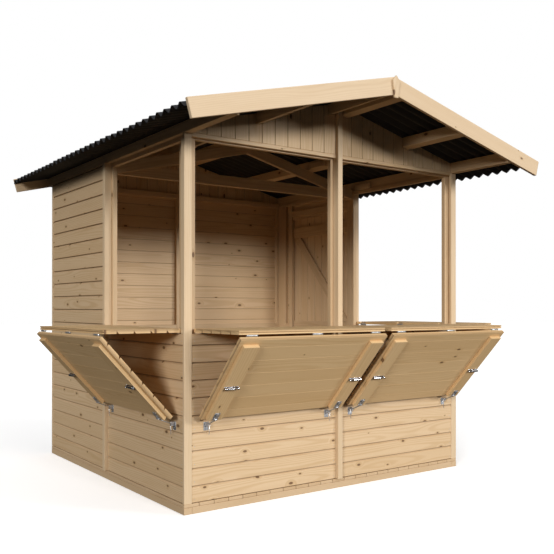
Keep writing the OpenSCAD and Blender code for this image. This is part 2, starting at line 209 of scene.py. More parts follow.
def wearGroup():
    # paler, rougher patches on metal and roofing, where hands, rain and dust have been
    group, source, sink = newGroup(
        "wear",
        [("Place", "Vector", (0, 0, 0)), ("Size", "Float", 20.0), ("Clean", "Color", (0.5, 0.5, 0.5, 1)),
         ("Worn", "Color", (0.6, 0.6, 0.6, 1)), ("Smooth", "Float", 0.2), ("Rough", "Float", 0.5)],
        [("Color", "Color"), ("Roughness", "Float"), ("Height", "Float")])
    scaled = vectors(group, "SCALE", source.outputs["Place"])
    feed(group, scaled.node.inputs["Scale"], source.outputs["Size"])
    cloud = noiseOf(group, scaled, 1.0, wearLook["patchDetail"], wearLook["patchRough"])
    patch = between(group, cloud, *wearLook["patchFade"])
    speck = noiseOf(group, scaled, wearLook["speckScale"], wearLook["speckDetail"], wearLook["speckRough"])
    feed(group, sink.inputs["Color"], mixed(group, patch, source.outputs["Clean"], source.outputs["Worn"]))
    span = maths(group, "SUBTRACT", source.outputs["Rough"], source.outputs["Smooth"])
    rough = maths(group, "MULTIPLY_ADD", patch, span, source.outputs["Smooth"])
    feed(group, sink.inputs["Roughness"], rough)
    relief = maths(group, "MULTIPLY", patch, wearLook["patchRelief"])
    feed(group, sink.inputs["Height"], maths(group, "MULTIPLY_ADD", speck, wearLook["speckRelief"], relief))
    return group


softwood = softwoodGroup()
wear = wearGroup()
print("node groups made")


# materials
def newMaterial(name):
    material = bpy.data.materials.new(name)
    material.use_nodes = True
    tree = material.node_tree
    return material, tree, tree.nodes["Principled BSDF"]


def addBump(tree, shader, height, strength, distance):
    bump = newNode(tree, "Bump", {"Strength": strength, "Distance": distance, "Height": height})
    tree.links.new(bump.outputs["Normal"], shader.inputs["Normal"])


surface = {"woodShine": 0.3, "woodBump": 0.0005, "wornBump": 0.0008}
attributes = (("grain", "Vector", "Grain"), ("boardTone", "Fac", "Tone"), ("seam", "Fac", "Seam"))


def woodMaterial(name, look):
    material, tree, shader = newMaterial(name)
    board = newNode(tree, "Group")
    board.node_tree = softwood
    for attribute, output, socket in attributes:
        reading = newNode(tree, "Attribute")
        reading.attribute_name = attribute
        tree.links.new(reading.outputs[output], board.inputs[socket])
    board.inputs["Pale"].default_value = (*look["pale"], 1)
    board.inputs["Late Wood"].default_value = (*look["late"], 1)
    board.inputs["Knot"].default_value = (*knotBrown, 1)
    board.inputs["Ring Contrast"].default_value = look["rings"]
    board.inputs["Knot Share"].default_value = look["knots"]
    tree.links.new(board.outputs["Color"], shader.inputs["Base Color"])
    tree.links.new(board.outputs["Roughness"], shader.inputs["Roughness"])
    shader.inputs["Specular IOR Level"].default_value = surface["woodShine"]
    addBump(tree, shader, board.outputs["Height"], look["relief"], surface["woodBump"])
    return material


def wornMaterial(name, look):
    material, tree, shader = newMaterial(name)
    patches = newNode(tree, "Group")
    patches.node_tree = wear
    place = newNode(tree, "TexCoord")
    tree.links.new(place.outputs["Object"], patches.inputs["Place"])
    for key, socket in (("clean", "Clean"), ("worn", "Worn")):
        patches.inputs[socket].default_value = (*look[key], 1)
    for key, socket in (("size", "Size"), ("smooth", "Smooth"), ("rough", "Rough")):
        patches.inputs[socket].default_value = look[key]
    tree.links.new(patches.outputs["Color"], shader.inputs["Base Color"])
    tree.links.new(patches.outputs["Roughness"], shader.inputs["Roughness"])
    shader.inputs["Metallic"].default_value = look["metal"]
    addBump(tree, shader, patches.outputs["Height"], look["relief"], surface["wornBump"])
    return material


knotBrown = (0.135, 0.062, 0.025)
woods = {
    "claddingPine": {"pale": (0.74, 0.535, 0.325), "late": (0.60, 0.395, 0.20),
                     "rings": 0.46, "knots": 0.58, "relief": 0.25},
    "framePine": {"pale": (0.68, 0.49, 0.295), "late": (0.52, 0.335, 0.17),
                  "rings": 0.36, "knots": 0.18, "relief": 0.22},
    "trimPine": {"pale": (0.74, 0.56, 0.36), "late": (0.62, 0.43, 0.24),
                 "rings": 0.34, "knots": 0.08, "relief": 0.2},
    "leafPine": {"pale": (0.79, 0.545, 0.285), "late": (0.66, 0.415, 0.185),
                 "rings": 0.40, "knots": 0.26, "relief": 0.22},
    "bargePine": {"pale": (0.75, 0.57, 0.375), "late": (0.64, 0.45, 0.26),
                  "rings": 0.36, "knots": 0.16, "relief": 0.22},
    "floorPine": {"pale": (0.68, 0.49, 0.30), "late": (0.50, 0.32, 0.155),
                  "rings": 0.44, "knots": 0.14, "relief": 0.3},
}
pine = {name: woodMaterial(name, look) for name, look in woods.items()}

finishes = {
    "zincSteel": {"size": 60.0, "clean": (0.62, 0.63, 0.65), "worn": (0.46, 0.465, 0.48),
                  "smooth": 0.3, "rough": 0.52, "metal": 0.8, "relief": 0.15},
    "brightSteel": {"size": 45.0, "clean": (0.78, 0.78, 0.80), "worn": (0.62, 0.62, 0.64),
                    "smooth": 0.12, "rough": 0.28, "metal": 1.0, "relief": 0.05},
    "bitumen": {"size": 9.0, "clean": (0.010, 0.010, 0.012), "worn": (0.020, 0.020, 0.023),
                "smooth": 0.72, "rough": 0.9, "metal": 0.0, "relief": 0.5},
}
metal = {name: wornMaterial(name, look) for name, look in finishes.items()}
print("materials made")


# solids
boardPitch = 0.0883
slack = 0.001  # places closer than this count as one
shaping = {"weld": 1e-5, "flatWithin": 0.5, "edgeFold": 0.35, "smoothWithin": 40, "easing": 0.0012,
           "rodEasing": 0.0006, "seam": 0.0004, "grainStart": ((0, 40), (-0.05, 0.05), (0.02, 0.09))}
easings = {"frame": 0.002, "trim": 0.003, "barge": 0.0025, "hinge": 0.0005, "strap": 0.0006}


def newStore():
    return {"verts": [], "faces": [], "grain": [], "tone": [], "seam": [], "smooth": []}


def pour(store, bm, base, along, out, smooth=False, seams=()):
    # adds one board or fitting to the piece; seams are (axis, low, high) bands in the laps and joints that
    # the wood material darkens as painted shade and grime
    up = out.cross(along)
    shift = [rng.uniform(*span) for span in shaping["grainStart"]]
    tone = rng.uniform(-1, 1)
    first = len(store["verts"])
    bm.verts.ensure_lookup_table()
    bm.verts.index_update()
    for vert in bm.verts:
        offset = vert.co - base
        store["verts"].append(vert.co.copy())
        store["grain"].append([offset.dot(axis) + start for axis, start in zip((along, up, out), shift)])
        store["tone"].append(tone)
        store["seam"].append(float(any(low <= vert.co.dot(axis) <= high for axis, low, high in seams)))
    for face in bm.faces:
        store["faces"].append([vert.index + first for vert in face.verts])
        store["smooth"].append(smooth)
    bm.free()


def roundEdges(bm, width, segments=2):
    sharp = [edge for edge in bm.edges
             if len(edge.link_faces) == 2 and edge.calc_face_angle(0) > shaping["edgeFold"]]
    if width and sharp:
        bmesh.ops.bevel(bm, geom=sharp, offset=width, segments=segments, profile=0.5,
                        affect="EDGES", clamp_overlap=True)


def addPrism(store, outline, reach, along, out, rounding, segments=1, smooth=False, seams=()):
    bm = bmesh.new()
    low = [bm.verts.new(point) for point in outline]
    high = [bm.verts.new(point + reach) for point in outline]
    bm.faces.new(low)
    bm.faces.new(high)
    for i in range(len(outline)):
        j = (i + 1) % len(outline)
        bm.faces.new((low[i], low[j], high[j], high[i]))
    bmesh.ops.recalc_face_normals(bm, faces=bm.faces)
    roundEdges(bm, rounding, segments)
    middle = sum(outline, Vector()) / len(outline)
    pour(store, bm, middle, along, out, smooth, seams)


def addBlock(store, corner, along, up, out, size, rounding=shaping["easing"], segments=1,
             grooved=(False, False)):
    # a block from one corner; size is its length along, up and out
    sides = sideSeams(up, corner.dot(up), corner.dot(up) + size[1])
    seams = [side for side, groove in zip(sides, grooved) if groove]
    outline = [corner, corner + up * size[1], corner + up * size[1] + out * size[2], corner + out * size[2]]
    addPrism(store, outline, along * size[0], along, out, rounding, segments, seams=seams)


def sideSeams(axis, low, high):
    # thin bands at both sides of a board, inside the groove to its neighbour, where the wood is darkened as
    # painted shade and grime
    half = shaping["seam"]
    return (axis, low - half, low + half), (axis, high - half, high + half)


def addRod(store, start, end, radius, sides, rounding=shaping["rodEasing"]):
    axis = (end - start).normalized()
    side = axis.orthogonal().normalized()
    across = axis.cross(side)
    turns = [2 * math.pi * i / sides for i in range(sides)]
    ring = [start + (side * math.cos(turn) + across * math.sin(turn)) * radius for turn in turns]
    addPrism(store, ring, end - start, axis, side, rounding, smooth=True)


def makePiece(name, store, material, body, slot, *nodes):
    mesh = bpy.data.meshes.new(name)
    mesh.from_pydata(store["verts"], [], store["faces"])
    grain = mesh.attributes.new("grain", "FLOAT_VECTOR", "POINT")
    grain.data.foreach_set("vector", [value for point in store["grain"] for value in point])
    tone = mesh.attributes.new("boardTone", "FLOAT", "POINT")
    tone.data.foreach_set("value", store["tone"])
    seam = mesh.attributes.new("seam", "FLOAT", "POINT")
    seam.data.foreach_set("value", store["seam"])
    mesh.polygons.foreach_set("use_smooth", store["smooth"])
    if any(store["smooth"]):
        mesh.set_sharp_from_angle(angle=math.radians(shaping["smoothWithin"]))
    mesh.materials.append(material)
    piece = bpy.data.objects.new(name, mesh)
    scene.collection.objects.link(piece)
    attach(piece, body)
    if nodes:
        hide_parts(*nodes)


def solidsOf(node):
    # the separate solids of a CAD node, each with its flat faces whole again
    whole = bmesh.new()
    whole.from_mesh(frame["nodes"][node].data)
    bmesh.ops.remove_doubles(whole, verts=whole.verts, dist=shaping["weld"])
    bmesh.ops.dissolve_limit(whole, angle_limit=math.radians(shaping["flatWithin"]), verts=whole.verts,
                             edges=whole.edges)
    seen = set()
    found = []
    for first in whole.faces:
        if first.index in seen:
            continue
        group, queue = [], [first]
        seen.add(first.index)
        while queue:
            face = queue.pop()
            group.append(face)
            for edge in face.edges:
                for other in edge.link_faces:
                    if other.index not in seen:
                        seen.add(other.index)
                        queue.append(other)
        solid = bmesh.new()
        copies = {}
        for face in group:
            for vert in face.verts:
                if vert.index not in copies:
                    copies[vert.index] = solid.verts.new(vert.co)
            solid.faces.new([copies[vert.index] for vert in face.verts])
        solid.normal_update()
        found.append(solid)
    whole.free()
    return found


def sawnFrom(node, suffix, material, slot, rounding=easings["frame"], smooth=False):
    # the CAD solids as planed timber: edges eased and the grain along each one's length
    store = newStore()
    for solid in solidsOf(node):
        longest = max(solid.edges, key=lambda edge: edge.calc_length())
        along = (longest.verts[1].co - longest.verts[0].co).normalized()
        sides = [face for face in solid.faces if abs(face.normal.dot(along)) < 0.1]
        out = max(sides, key=lambda face: face.calc_area()).normal.copy()
        out = (out - along * out.dot(along)).normalized()
        middle = middleOf(solid)
        roundEdges(solid, rounding)
        pour(store, solid, middle, along, out, smooth)
    makePiece(node + suffix, store, material, frame["nodes"][node]["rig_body"], slot, node)


def spanOf(node, axis):
    low, high = (Vector(corner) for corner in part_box(node))
    ends = sorted((low.dot(axis), high.dot(axis)))
    return ends[0], ends[1]


def spansOf(node, *axes):
    return [spanOf(node, axis) for axis in axes]


def middleOf(solid):
    return sum((vert.co for vert in solid.verts), Vector()) / len(solid.verts)


# lapped cladding
cladding = {"pitch": boardPitch, "firstLap": 0.052, "thick": 0.023, "slope": 0.012, "notch": 0.0095,
            "arris": 0.0025, "easing": 0.0008, "least": 0.004}
lapCurve = ((1.0, 0.0), (0.74, 0.5), (0.36, 0.86))
# bands under each lap's lip and at the inner arris, darkened by the wood material as painted shade and grime
lapSeam = {"under": 0.0010, "over": 0.8, "inner": 0.4, "outer": 0.0009}


def lapOutline(height, thickness, look):
    # (up, out) points of a board; its upper edge is scooped back under the next board's lip
    slope, notch, arris = look["slope"], look["notch"], look["arris"]
    scoop = [(height - slope * down, -notch * inward) for down, inward in lapCurve]
    upperBack = [(height, arris - thickness), (height - arris, -thickness)]
    lowerBack = [(arris, -thickness), (0, arris - thickness)]
    return [(0, 0)] + scoop + [(height, -notch)] + upperBack + lowerBack


def plainOutline(height, thickness):
    return [(0, 0), (height, 0), (height, -thickness), (0, -thickness)]


def addLap(store, corner, along, up, out, length, points, look):
    outline = [corner + up * rise + out * depth for rise, depth in points]
    face = corner.dot(out)
    deep = face - look["thick"] + look["arris"]
    seams = ((out, face - look["notch"] - lapSeam["under"], face - look["notch"] * lapSeam["over"]),
             (out, deep - look["arris"] * lapSeam["inner"], deep + lapSeam["outer"]))
    addPrism(store, outline, along * length, along, out, look["easing"], seams=seams)


def lappedWall(name, node, along, out):
    store = newStore()
    ends, faces, heights = spansOf(node, along, out, zAxis)
    thickness = faces[1] - faces[0]
    line = cladding["firstLap"]
    while line < heights[1] - slack:
        low = max(line, heights[0])
        nextLine = line + cladding["pitch"]
        high = min(nextLine, heights[1])
        if high - low > cladding["least"]:
            points = plainOutline(high - low, thickness)
            if nextLine <= heights[1] + slack:
                points = lapOutline(high - low, thickness, cladding)
            corner = along * ends[0] + out * faces[1] + zAxis * low
            addLap(store, corner, along, zAxis, out, ends[1] - ends[0], points, cladding)
        line = nextLine
    makePiece(name, store, pine["claddingPine"], "stall", "cladding", node)


wallFaces = {
    "front_left_low_wall": (xAxis, -yAxis), "front_right_low_wall": (xAxis, -yAxis),
    "left_low_wall": (yAxis, -xAxis), "right_low_wall": (yAxis, xAxis),
    "left_rear_wall": (yAxis, -xAxis), "right_rear_wall": (yAxis, xAxis), "wall_over_door": (yAxis, xAxis),
    "back_left_wall": (xAxis, yAxis), "back_right_wall": (xAxis, yAxis),
}
for node, (along, out) in wallFaces.items():
    lappedWall(node + ".boards", node, along, out)
print("walls made")


# gables
gable = {"board": boardPitch, "header": 0.020, "vee": 0.0028, "touch": 1e-7}


def gableBoards(name, node, out, hasHeader):
    # upright boards cut to the roof's slope and round the purlins, over a plain header strip
    store = newStore()
    for solid in solidsOf(node):
        outer = max(vert.co.dot(out) for vert in solid.verts)
        inner = min(vert.co.dot(out) for vert in solid.verts)
        depth = outer - inner
        face = max(solid.faces, key=lambda item: item.normal.dot(out) * item.calc_area())
        rim = [vert.co.copy() for vert in face.verts]
        foot = min(point.z for point in rim)
        left, right = min(point.x for point in rim), max(point.x for point in rim)
        header = gable["header"] if hasHeader else 0.0
        if hasHeader:
            corner = Vector((left, 0, foot)) + out * inner
            addBlock(store, corner, xAxis, zAxis, out, (right - left, header, depth))
        count = max(1, round((right - left) / gable["board"]))
        width = (right - left) / count
        for i in range(count):
            sides = (left + i * width, left + (i + 1) * width)
            addBoardUnder(store, rim, sides, foot + header, inner, depth, out)
        solid.free()
    makePiece(name, store, pine["claddingPine"], "stall", "cladding", node)


def addBoardUnder(store, rim, sides, foot, inner, depth, out):
    # the part of the gable's outline between two uprights, as one board
    left, right = sides
    points = clipAt(clipAt(clipAt(rim, xAxis, left, 1), xAxis, right, -1), zAxis, foot, 1)
    if len(points) < 3:
        return
    outline = [Vector((point.x, 0, point.z)) + out * inner for point in points]
    addPrism(store, outline, out * depth, zAxis, out, gable["vee"], seams=sideSeams(xAxis, left, right))


def clipAt(points, axis, level, side):
    # keeps the part of a closed outline on one side of a plane
    kept = []
    for i, point in enumerate(points):
        following = points[(i + 1) % len(points)]
        here = (point.dot(axis) - level) * side
        there = (following.dot(axis) - level) * side
        if here >= -gable["touch"]:
            kept.append(point)
        if min(here, there) < -gable["touch"] and max(here, there) > gable["touch"]:
            kept.append(point.lerp(following, here / (here - there)))
    return kept


gableBoards("front_gable.boards", "front_gable", -yAxis, True)
gableBoards("back_gable.boards", "back_gable", yAxis, False)
print("gables made")


# floor
floor = {"board": boardPitch, "vee": 0.003}


def tonguedBoards(name, node, material, body, slot, axes, look):
    # boards side by side along, across and out of a flat CAD piece, with a vee at each joint
    along, across, out = axes
    (start, end), (left, right), (low, high) = spansOf(node, *axes)
    store = newStore()
    count = round((right - left) / look["board"])
    width = (right - left) / count
    for i in range(count):
        corner = along * start + across * (left + i * width) + out * low
        addBlock(store, corner, along, across, out, (end - start, width, high - low), look["vee"],
                 grooved=(i > 0, i < count - 1))
    makePiece(name, store, material, body, slot, node)


tonguedBoards("floor_boards.planks", "floor_boards", pine["floorPine"], "stall", "floor_timber",
              (yAxis, xAxis, zAxis), floor)
sawnFrom("floor_bearers", ".timber", pine["floorPine"], "floor_timber")
for node in ("front_uprights", "side_uprights", "back_uprights", "wall_rails", "top_rails",
             "truss_rafters", "truss_tie", "purlins"):
    sawnFrom(node, ".timber", pine["framePine"], "frame_timber")
sawnFrom("corner_trims", ".timber", pine["trimPine"], "trim_timber", easings["trim"])
sawnFrom("cover_strips", ".timber", pine["trimPine"], "trim_timber", easings["trim"])
for node in ("front_bargeboards", "back_bargeboards", "apex_pieces"):
    sawnFrom(node, ".timber", pine["bargePine"], "barge_timber", easings["barge"])
print("floor, frame and trims made")


# roof
roof = {"waves": 34, "wavesPerSheet": 12, "overlap": 1, "steps": 18, "thick": 0.003, "thinner": 0.0005,
        "lift": 0.0026, "clear": 0.0004, "sameEnd": 0.002}


def roofFrame(node, side):
    # the way down one slope, the way out of it, and the points of its sheet
    points = [vert.co for vert in frame["nodes"][node].data.vertices]
    ridge = max(points, key=lambda point: point.z)
    atEnd = [point for point in points if abs(point.y - ridge.y) < roof["sameEnd"]]
    eave = max(atEnd, key=lambda point: point.x * side + point.z)
    down = (eave - ridge).normalized()
    down = Vector((down.x, 0, down.z)).normalized()  # level across the ridge
    out = yAxis.cross(down) * side
    return down, -out if out.z < 0 else out, points


def corrugatedRoof(side):
    # lapped sheets, every second one lifted over its neighbours
    node = "roof_sheet_right" if side > 0 else "roof_sheet_left"
    down, out, points = roofFrame(node, side)
    front, back = spanOf(node, yAxis)
    ends = (min(point.dot(down) for point in points), max(point.dot(down) for point in points))
    crest = max(point.dot(out) for point in points)
    trough = min(point.dot(out) for point in points) + roof["thick"]
    pitch = (back - front) / roof["waves"]
    store = newStore()
    start = 0
    end = 0
    number = 0
    while end < roof["waves"]:
        end = min(start + roof["wavesPerSheet"], roof["waves"])
        lift = roof["lift"] * (number % 2)
        levels = (trough - roof["clear"], crest - roof["lift"] + lift)
        addSheet(store, front + start * pitch, end - start, pitch, down, out, ends, levels)
        start = end - roof["overlap"]
        number += 1
    makePiece(node + ".waves", store, metal["bitumen"], "stall", "roof_sheet", node)
    return out, crest, pitch, front


def addSheet(store, start, count, pitch, down, out, ends, levels):
    steps = roof["steps"] * count
    low, high = levels
    upper, lower = [], []
    for i in range(steps + 1):
        level = low + (high - low) * (1 - math.cos(2 * math.pi * i / roof["steps"])) / 2
        place = yAxis * (start + i * pitch / roof["steps"]) + out * level
        upper.append(place)
        lower.append(place - out * (roof["thick"] - roof["thinner"]))
    outline = [point + down * ends[0] for point in upper + lower[::-1]]
    addPrism(store, outline, down * (ends[1] - ends[0]), down, out, 0.0, smooth=True)


slopes = {side: corrugatedRoof(side) for side in (1, -1)}


cap = {"radius": 0.011, "halfSteps": 12, "drop": 0.0006, "thinner": 0.0008}
roofNail = {"every": 2, "offRidge": 0.2, "sunk": 0.004, "proud": 0.0025, "radius": 0.009, "sides": 14,
            "easing": 0.0015}


def ridgeCap():
    # a folded sheet with a rounded ridge
    store = newStore()
    (front, back), (low, high) = spansOf("ridge_cap", yAxis, zAxis)
    half = spanOf("ridge_cap", xAxis)[1]
    thick = roof["thick"]
    fall = (high - thick - low) / half
    outer = []
    steps = cap["halfSteps"]
    for i in range(-steps, steps + 1):
        place = half * i / steps
        level = high - cap["drop"] - fall * math.hypot(place, cap["radius"]) + fall * cap["radius"]
        outer.append(Vector((place, front, level)))
    inner = [point - zAxis * (thick - cap["thinner"]) for point in outer]
    addPrism(store, outer + inner[::-1], yAxis * (back - front), yAxis, zAxis, 0.0, smooth=True)
    makePiece("ridge_cap.sheet", store, metal["bitumen"], "stall", "roof_sheet", "ridge_cap")


def roofNails():
    # round-capped nails through every second crest, over each purlin
    store = newStore()
    rows = []
    for solid in solidsOf("purlins"):
        across = middleOf(solid).x
        if abs(across) > roofNail["offRidge"]:
            rows.append(across)
        solid.free()
    for across in rows:
        out, crest, pitch, front = slopes[1 if across > 0 else -1]
        for wave in range(0, roof["waves"], roofNail["every"]):
            place = Vector((across, front + (wave + 0.5) * pitch, 0))
            place.z = (crest - place.dot(out)) / out.z
            foot, head = place - out * roofNail["sunk"], place + out * roofNail["proud"]
            addRod(store, foot, head, roofNail["radius"], roofNail["sides"], roofNail["easing"])
    makePiece("roof_nails", store, metal["bitumen"], "stall", "roof_sheet")


ridgeCap()
roofNails()
print("roof made")


# fold-out counters
leaf = {"pitch": boardPitch, "counterLap": 0.0861, "propLap": 0.052, "thick": 0.020, "slope": 0.012,
        "notch": 0.0092, "arris": 0.0009, "easing": 0.0008, "least": 0.01, "leastStrip": 0.002,
        "cutDepth": 0.0194, "knuckle": (0.002, 0.03), "edgeGroove": (0.0075, 0.0115), "grooveDepth": 0.006,
        "battenStep": 0.0015, "battenEasing": 0.002}
# along the hinge from the wall's middle to the corner, and out from the wall
hatches = {"front_left": (-xAxis, -yAxis), "front_right": (xAxis, -yAxis), "left": (-yAxis, -xAxis),
           "right": (-yAxis, xAxis)}
jointOf = {joint["name"]: joint for joint in frame["joints"]}


def boardLines(start, firstLap, end):
    # the places where a leaf's boards begin, and its end
    lines = [start]
    line = firstLap
    while line < end - leaf["least"]:
        lines.append(line)
        line += leaf["pitch"]
    return lines + [end]


def grooveOutline(height, thickness):
    # a square-edged board with a groove run along its outer edge
    low, high = leaf["edgeGroove"]
    deep = height - leaf["grooveDepth"]
    groove = [(height, -low), (deep, -low), (deep, -high), (height, -high)]
    return [(0, 0), (height, 0)] + groove + [(height, -thickness), (0, -thickness)]


def counterBoards(hatch):
    node = hatch + "_counter"
    along, out = hatches[hatch]
    ends, reach, (low, high) = spansOf(node, along, out, zAxis)
    thickness = high - low
    store = newStore()
    lines = boardLines(leaf["cutDepth"], leaf["counterLap"], reach[1] - reach[0])
    for i in range(len(lines) - 1):
        height = lines[i + 1] - lines[i]
        last = i == len(lines) - 2
        points = grooveOutline(height, thickness) if last else lapOutline(height, thickness, leaf)
        corner = along * ends[0] + out * (reach[0] + lines[i]) + zAxis * low
        addLap(store, corner, along, out, -zAxis, ends[1] - ends[0], points, leaf)
    # the strip along the hinge, in lengths between the knuckles
    start = ends[0]
    for cutLow, cutHigh in hingeCuts(node, along, out) + [(ends[1], ends[1])]:
        if cutLow - start > leaf["leastStrip"]:
            corner = along * start + out * reach[0] + zAxis * low
            size = (cutLow - start, leaf["cutDepth"], thickness)
            addBlock(store, corner, along, out, zAxis, size, leaf["easing"])
        start = cutHigh
    makePiece(node + ".boards", store, pine["leafPine"], hatch + "_counter_leaf", "leaf_timber", node)


def hingeCuts(node, along, out):
    # lengths along the hinged edge where the CAD leaf is cut for a knuckle
    points = [vert.co for vert in frame["nodes"][node].data.vertices]
    inner = min(point.dot(out) for point in points)
    ends = spanOf(node, along)
    near, far = leaf["knuckle"]
    places = sorted({round(point.dot(along), 5) for point in points if near < point.dot(out) - inner < far})
    places = [place for place in places if ends[0] + slack < place < ends[1] - slack]
    return list(zip(places[0::2], places[1::2]))


def propAxes(hatch):
    # down the prop from its hinge, and out of its smooth face
    along, out = hatches[hatch]
    joint = jointOf[hatch + "_prop_hinge"]
    turn = Matrix.Rotation(-math.radians(joint["range_deg"][1]), 3, Vector(joint["axis"]))
    down = turn @ out
    smooth = Vector(joint["axis"]).cross(down)
    if smooth.dot(out) < 0:
        smooth = -smooth
    return along, down.normalized(), smooth.normalized(), Vector(joint["pos_m"])


def propSpans(hatch):
    # the planks' box, the battens' places along the hinge, how far down they run and how far out
    along, down, smooth, pin = propAxes(hatch)
    points = [vert.co for vert in frame["nodes"][hatch + "_prop"].data.vertices]
    local = [(point.dot(along), (point - pin).dot(down), (point - pin).dot(smooth)) for point in points]
    face = min(item[2] for item in local)
    tips = [item for item in local if item[2] > face + leaf["thick"] + leaf["battenStep"]]
    spans = [bound(item[i] for item in local) for i in range(2) for bound in (min, max)]
    planks = (*spans, face)
    tipAlong = sorted({round(item[0], 4) for item in tips})
    battens = [(tipAlong[0], tipAlong[1]), (tipAlong[-2], tipAlong[-1])]
    battenDown = (min(item[1] for item in tips), max(item[1] for item in tips))
    battenOut = max(item[2] for item in tips)
    return planks, battens, battenDown, battenOut


def propBoards(hatch):
    along, down, smooth, pin = propAxes(hatch)
    planks, battens, battenDown, battenOut = propSpans(hatch)
    left, right, top, foot, face = planks
    thickness = leaf["thick"]
    home = pin - along * pin.dot(along)
    store = newStore()
    lines = boardLines(0.0, leaf["propLap"], foot - top)
    for i in range(len(lines) - 1):
        height = lines[i + 1] - lines[i]
        last = i == len(lines) - 2
        points = plainOutline(height, thickness) if last else lapOutline(height, thickness, leaf)
        corner = home + along * left + down * (top + lines[i]) + smooth * face
        addLap(store, corner, along, down, -smooth, right - left, points, leaf)
    for start, end in battens:
        corner = home + along * start + down * battenDown[0] + smooth * (face + thickness)
        size = (battenDown[1] - battenDown[0], end - start, battenOut - face - thickness)
        addBlock(store, corner, down, along, smooth, size, leaf["battenEasing"], 2)
    node = hatch + "_prop"
    makePiece(node + ".boards", store, pine["leafPine"], node + "_leaf", "leaf_timber", node)


for hatch in hatches:
    counterBoards(hatch)
    propBoards(hatch)
    hinged = hatch + "_fold_hinges"
    sawnFrom(hinged, ".steel", metal["zincSteel"], "galvanised_steel", easings["hinge"], smooth=True)
sawnFrom("wall_hinges", ".steel", metal["zincSteel"], "galvanised_steel", easings["hinge"], smooth=True)
print("counters and props made")


# bolts and latches
bolt = {"length": 0.084, "width": 0.019, "plate": 0.0012, "easing": 0.0004, "place": 0.53,
        "barrel": 0.0068, "barrelShare": (-0.28, 0.98), "barrelSides": 22,
        "rod": 0.0042, "rodShare": (-1.0, 0.9), "rodSides": 16, "bossShare": (-1.0, -0.78),
        "bossSwell": 1.45, "knobShare": -0.55, "knobLong": 0.012, "knob": 0.003, "knobSides": 12,
        "screwAt": (0.86, 0.36)}
screw = {"sides": 12, "easing": 0.0005, "radius": 0.0026, "small": 0.0024, "proud": 0.0012}
latch = {"plateLong": 0.050, "plateWide": 0.032, "plate": 0.0015, "easing": 0.0004, "inset": 0.004,
         "lever": (0.75, 0.6), "leverFrom": (0.9, 0.3), "leverLift": 0.0055, "leverThick": 0.002,
         "leverEasing": 0.0006, "cheek": (0.5, 0.002, 0.0075), "cheekFrom": (0.55, 0.30),
         "screwDown": (0.14, 0.86), "screwAcross": 0.42, "screwProud": 0.003}
catch = {"wide": 0.030, "tall": 0.044, "height": 0.433, "easing": 0.0005, "lug": (0.007, 0.022, 0.024),
         "pinOut": 0.018, "pinUp": 0.012, "pinHalf": 0.016, "pin": 0.0032, "pinSides": 14,
         "tailAt": 0.013, "tailDrop": 0.055, "tailDrift": 0.006, "tail": 0.0017, "tailSides": 10,
         "loop": 0.0022, "loopShare": 0.2, "loopSides": 12, "loopOut": 0.0105, "loopUp": 0.012,
         "screwAt": (0.011, 0.018), "screwProud": 0.0028}


def barrelBolt(store, middle, tip, down, out):
    # flat plate, a barrel at the shooting end, the rod and its knob; tip is the way the rod shoots
    half = bolt["length"] / 2
    corner = middle - tip * half - down * (bolt["width"] / 2)
    addBlock(store, corner, tip, down, out, (bolt["length"], bolt["width"], bolt["plate"]), bolt["easing"])
    line = middle + out * (bolt["plate"] + bolt["barrel"])
    for share, radius, sides in ((bolt["barrelShare"], bolt["barrel"], bolt["barrelSides"]),
                                 (bolt["rodShare"], bolt["rod"], bolt["rodSides"]),
                                 (bolt["bossShare"], bolt["rod"] * bolt["bossSwell"], bolt["rodSides"])):
        addRod(store, line + tip * (half * share[0]), line + tip * (half * share[1]), radius, sides)
    knobAt = line + tip * (half * bolt["knobShare"])
    addRod(store, knobAt, knobAt + down * bolt["knobLong"], bolt["knob"], bolt["knobSides"])
    alongShare, acrossShare = bolt["screwAt"]
    for along in (-alongShare, alongShare):
        for across in (-1, 1):
            place = middle + tip * (half * along) + down * (across * bolt["width"] * acrossShare)
            addScrew(store, place, out, bolt["plate"] + screw["proud"], screw["radius"])


def addScrew(store, place, out, proud, radius):
    addRod(store, place, place + out * proud, radius, screw["sides"], screw["easing"])


def toggleLatch(store, place, down, across, out):
    # plate with two cheeks and a lever on the batten; place is the middle of its lower edge
    long, wide = latch["plateLong"], latch["plateWide"]
    corner = place - down * long - across * (wide / 2)
    addBlock(store, corner, down, across, out, (long, wide, latch["plate"]), latch["easing"])
    back, aside = latch["leverFrom"]
    lever = place - down * (long * back) - across * (wide * aside) + out * latch["leverLift"]
    size = (long * latch["lever"][0], wide * latch["lever"][1], latch["leverThick"])
    addBlock(store, lever, down, across, out, size, latch["leverEasing"])
    share, thick, tall = latch["cheek"]
    back, aside = latch["cheekFrom"]
    for edge in (-1, 1):
        cheek = place - down * (long * back) + across * (edge * wide * aside)
        addBlock(store, cheek - across * (thick / 2), down, across, out, (long * share, thick, tall),
                 latch["easing"])
    for step in latch["screwDown"]:
        for edge in (-1, 1):
            spot = place - down * (long * step) + across * (edge * wide * latch["screwAcross"])
            addScrew(store, spot, out, latch["screwProud"], screw["small"])


